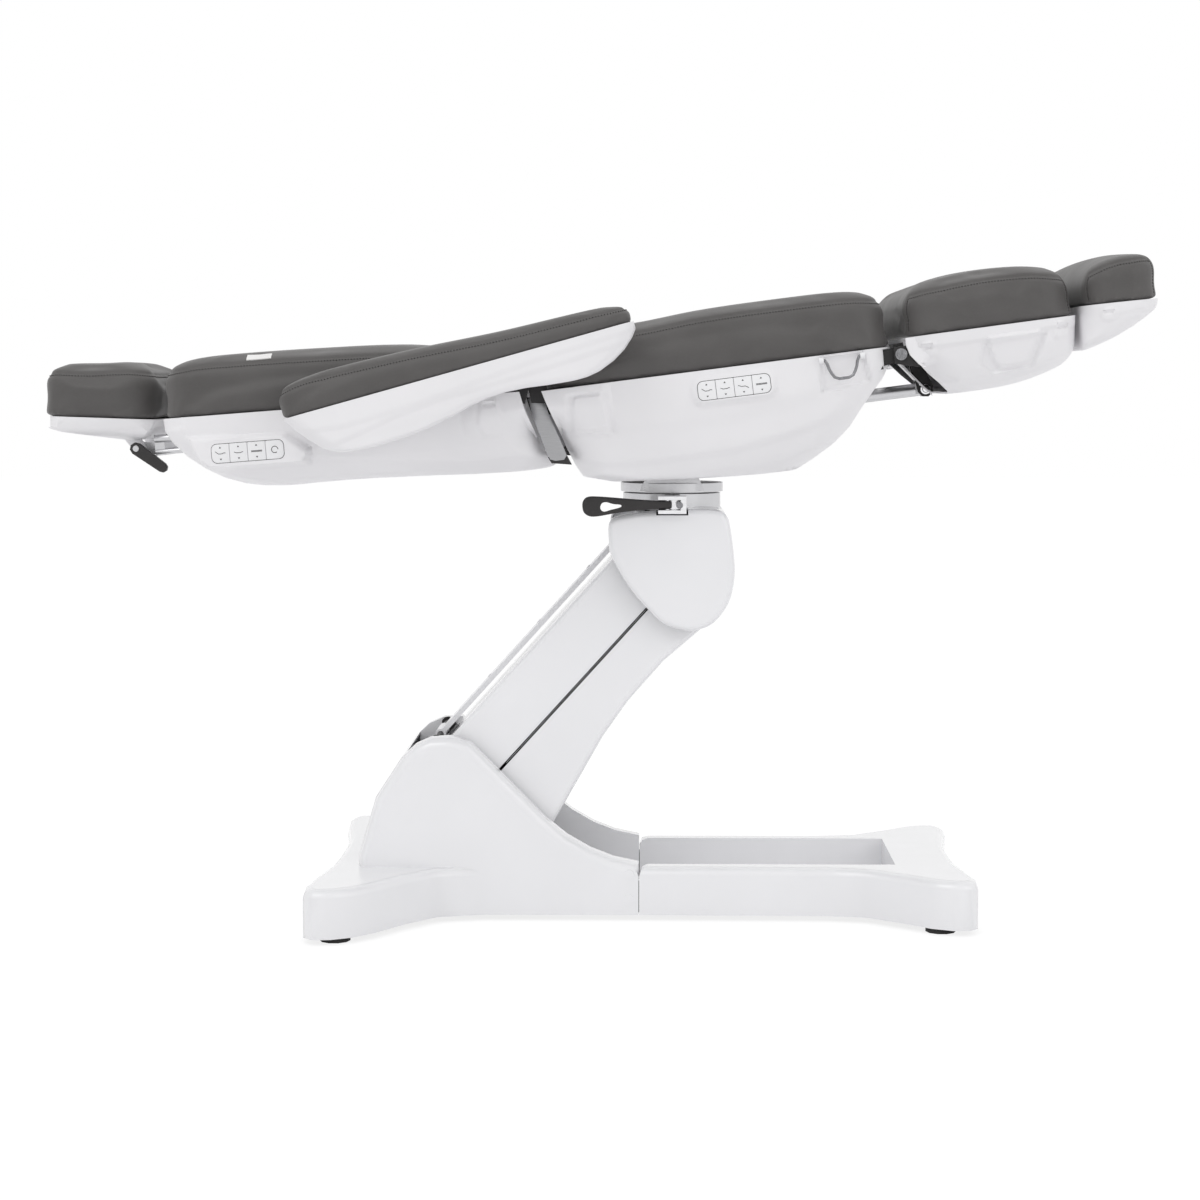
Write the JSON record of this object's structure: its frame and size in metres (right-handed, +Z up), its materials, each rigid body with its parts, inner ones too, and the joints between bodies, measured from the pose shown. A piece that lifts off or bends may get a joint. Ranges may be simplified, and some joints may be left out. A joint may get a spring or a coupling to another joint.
{
  "type": "electric spa treatment table",
  "caption": "Padded treatment table on a motor-driven lifting arm, with a swivelling and tilting seat, raising back, lowering leg rest, sliding foot rest, armrests and headrest.",
  "frame": {"origin": "centre of the bounding box in plan, at the floor", "axes": "+X to the foot end, +Y to the far side, away from the key pads, +Z up"},
  "size_m": [1.7583, 0.849, 1.0667],
  "materials": {
    "vinyl": "smooth upholstery vinyl",
    "shell": "satin white",
    "gloss": "glossy white",
    "key": "satin light grey-white",
    "black": "fine matt black",
    "frame": "satin black powder coat",
    "silver": "brushed",
    "chrome": "polished",
    "white_metal": "glossy white paint",
    "rubber": "matt black"
  },
  "bodies": {
    "base": {"base_rear_cover": "gloss", "base_front_cover": "gloss", "base_frame": "frame", "levelling_foot_1": "rubber", "levelling_foot_2": "rubber", "levelling_foot_3": "rubber", "levelling_foot_4": "rubber", "base_pivot_shaft": "silver"},
    "arm": {"lift_arm": "frame", "lift_arm_upper_cover": "gloss", "lift_arm_lower_cover": "gloss"},
    "link": {"levelling_link": "white_metal"},
    "lift_tube": {"lift_actuator": "frame"},
    "lift_rod": {"lift_actuator_rod": "silver"},
    "head": {"head_bracket": "frame", "head_pivot_shaft": "silver", "head_cover": "gloss", "swivel_clamp_ring": "silver", "swivel_lock_block": "chrome"},
    "lock_lever": {"swivel_lock_lever": "black"},
    "carrier": {"swivel_carrier": "silver"},
    "seat": {"seat_frame": "frame", "tilt_shaft": "silver", "leg_hinge_shaft": "frame", "back_hinge_shaft": "frame", "seat_shell": "shell", "seat_cushion": "vinyl", "tilt_actuator": "frame", "back_actuator": "frame", "control_box": "black"},
    "tilt_rod": {"tilt_actuator_rod": "silver"},
    "back_rod": {"back_actuator_rod": "silver"},
    "leg_tube": {"leg_actuator": "frame"},
    "leg_rod": {"leg_actuator_rod": "silver"},
    "side_ring": {"side_ring": "silver"},
    "back": {"back_frame": "frame", "back_shell": "shell", "back_cushion": "vinyl"},
    "armrest_near": {"armrest_near_shell": "shell", "armrest_near_cushion": "vinyl"},
    "armrest_far": {"armrest_far_shell": "shell", "armrest_far_cushion": "vinyl"},
    "headrest_slide": {"headrest_rods": "silver"},
    "headrest_lever": {"headrest_lever": "black"},
    "headrest": {"headrest_shell": "shell", "headrest_cushion": "vinyl"},
    "leg": {"leg_frame": "frame", "leg_shell": "shell", "leg_cushion": "vinyl"},
    "foot": {"foot_slide": "silver", "foot_shell": "shell", "foot_cushion": "vinyl"},
    "seat_key_1": {"seat_key_1": "key"},
    "seat_key_2": {"seat_key_2": "key"},
    "seat_key_3": {"seat_key_3": "key"},
    "seat_key_4": {"seat_key_4": "key"},
    "back_key_1": {"back_key_1": "key"},
    "back_key_2": {"back_key_2": "key"},
    "back_key_3": {"back_key_3": "key"},
    "back_key_4": {"back_key_4": "key"}
  },
  "joints": [
    {"name": "lift", "type": "hinge", "parent": "base", "child": "arm", "pos_m": [-0.19785, 0, 0.195], "axis": [0, 1, 0], "range_deg": [-4, 40]},
    {"name": "head_level", "type": "hinge", "parent": "arm", "child": "head", "pos_m": [0.13029, 0, 0.55688], "axis": [0, 1, 0], "range_deg": [-40, 4]},
    {"name": "link_swing", "type": "hinge", "parent": "base", "child": "link", "pos_m": [-0.25035, 0, 0.2859], "axis": [0, 1, 0], "range_deg": [-4, 40]},
    {"name": "lift_drive_swing", "type": "hinge", "parent": "base", "child": "lift_tube", "pos_m": [-0.10785, 0, 0.045], "axis": [0, 1, 0], "range_deg": [-2.6, 25.95]},
    {"name": "lift_drive_stroke", "type": "slide", "parent": "lift_tube", "child": "lift_rod", "axis": [0.1977, 0, 0.9803], "range_m": [-0.0993, 0.00995]},
    {"name": "swivel", "type": "hinge", "parent": "head", "child": "carrier", "pos_m": [0.13029, 0, 0.55688], "axis": [0, 0, 1], "range_deg": [-120, 120]},
    {"name": "swivel_lock", "type": "hinge", "parent": "head", "child": "lock_lever", "pos_m": [0.12229, -0.157, 0.55688], "axis": [0, 0, 1], "range_deg": [0, 100]},
    {"name": "seat_tilt", "type": "hinge", "parent": "carrier", "child": "seat", "pos_m": [0.13029, 0, 0.75988], "axis": [0, 1, 0], "range_deg": [-10, 7.3]},
    {"name": "tilt_drive_stroke", "type": "slide", "parent": "seat", "child": "tilt_rod", "axis": [0.992, 0, 0.1262], "range_m": [-0.0088, 0.012]},
    {"name": "back_raise", "type": "hinge", "parent": "seat", "child": "back", "pos_m": [-0.08971, 0, 0.8949], "axis": [0, 1, 0], "range_deg": [0, 75]},
    {"name": "back_drive_stroke", "type": "slide", "parent": "seat", "child": "back_rod", "axis": [-0.992, 0, -0.1262], "range_m": [0, 0.1345]},
    {"name": "leg_lower", "type": "hinge", "parent": "seat", "child": "leg", "pos_m": [0.47883, 0, 0.90684], "axis": [0, 1, 0], "range_deg": [0, 80]},
    {"name": "leg_drive_swing", "type": "hinge", "parent": "seat", "child": "leg_tube", "pos_m": [0.20943, 0, 0.81128], "axis": [0, 1, 0], "range_deg": [0, 1.86]},
    {"name": "leg_drive_stroke", "type": "slide", "parent": "leg_tube", "child": "leg_rod", "axis": [0.992, 0, 0.1262], "range_m": [-0.1093, 0]},
    {"name": "armrest_near_swing", "type": "hinge", "parent": "back", "child": "armrest_near", "pos_m": [-0.36771, -0.3705, 0.77993], "axis": [0, -1, 0], "range_deg": [-10, 80]},
    {"name": "armrest_far_swing", "type": "hinge", "parent": "back", "child": "armrest_far", "pos_m": [-0.36771, 0.3705, 0.77993], "axis": [0, -1, 0], "range_deg": [-10, 80]},
    {"name": "foot_slide", "type": "slide", "parent": "leg", "child": "foot", "axis": [0.9912, 0, 0.1323], "range_m": [0, 0.15]},
    {"name": "headrest_slide", "type": "slide", "parent": "back", "child": "headrest_slide", "axis": [-0.9971, 0, -0.0767], "range_m": [0, 0.12]},
    {"name": "headrest_tilt", "type": "hinge", "parent": "headrest_slide", "child": "headrest", "pos_m": [-0.7334, 0, 0.75791], "axis": [0, 1, 0], "range_deg": [-35, 10]},
    {"name": "headrest_lever_turn", "type": "hinge", "parent": "headrest_slide", "child": "headrest_lever", "pos_m": [-0.7334, 0, 0.75791], "axis": [0, 1, 0], "range_deg": [0, 70]},
    {"name": "side_ring_swing", "type": "hinge", "parent": "seat", "child": "side_ring", "pos_m": [0.38648, -0.3045, 0.90135], "axis": [-0.992, 0, -0.1262], "range_deg": [0, 90]},
    {"name": "seat_key_1_push", "type": "slide", "parent": "seat", "child": "seat_key_1", "axis": [0, 1, 0], "range_m": [0, 0.0012], "stiffness_N_per_m": 800},
    {"name": "seat_key_2_push", "type": "slide", "parent": "seat", "child": "seat_key_2", "axis": [0, 1, 0], "range_m": [0, 0.0012], "stiffness_N_per_m": 800},
    {"name": "seat_key_3_push", "type": "slide", "parent": "seat", "child": "seat_key_3", "axis": [0, 1, 0], "range_m": [0, 0.0012], "stiffness_N_per_m": 800},
    {"name": "seat_key_4_push", "type": "slide", "parent": "seat", "child": "seat_key_4", "axis": [0, 1, 0], "range_m": [0, 0.0012], "stiffness_N_per_m": 800},
    {"name": "back_key_1_push", "type": "slide", "parent": "back", "child": "back_key_1", "axis": [0, 1, 0], "range_m": [0, 0.0012], "stiffness_N_per_m": 800},
    {"name": "back_key_2_push", "type": "slide", "parent": "back", "child": "back_key_2", "axis": [0, 1, 0], "range_m": [0, 0.0012], "stiffness_N_per_m": 800},
    {"name": "back_key_3_push", "type": "slide", "parent": "back", "child": "back_key_3", "axis": [0, 1, 0], "range_m": [0, 0.0012], "stiffness_N_per_m": 800},
    {"name": "back_key_4_push", "type": "slide", "parent": "back", "child": "back_key_4", "axis": [0, 1, 0], "range_m": [0, 0.0012], "stiffness_N_per_m": 800}
  ],
  "couplings": [
    {"joint": "head_level", "follows": "lift", "ratio": -1},
    {"joint": "link_swing", "follows": "lift", "ratio": 1},
    {"joint": "lift_drive_swing", "follows": "lift", "ratio": 0.6475},
    {"joint": "lift_drive_stroke", "follows": "lift", "m_per_rad": -0.142},
    {"joint": "tilt_drive_stroke", "follows": "seat_tilt", "m_per_rad": -0.068},
    {"joint": "back_drive_stroke", "follows": "back_raise", "m_per_rad": 0.1024},
    {"joint": "leg_drive_swing", "follows": "leg_lower", "ratio": 0.0231},
    {"joint": "leg_drive_stroke", "follows": "leg_lower", "m_per_rad": -0.0781}
  ]
}
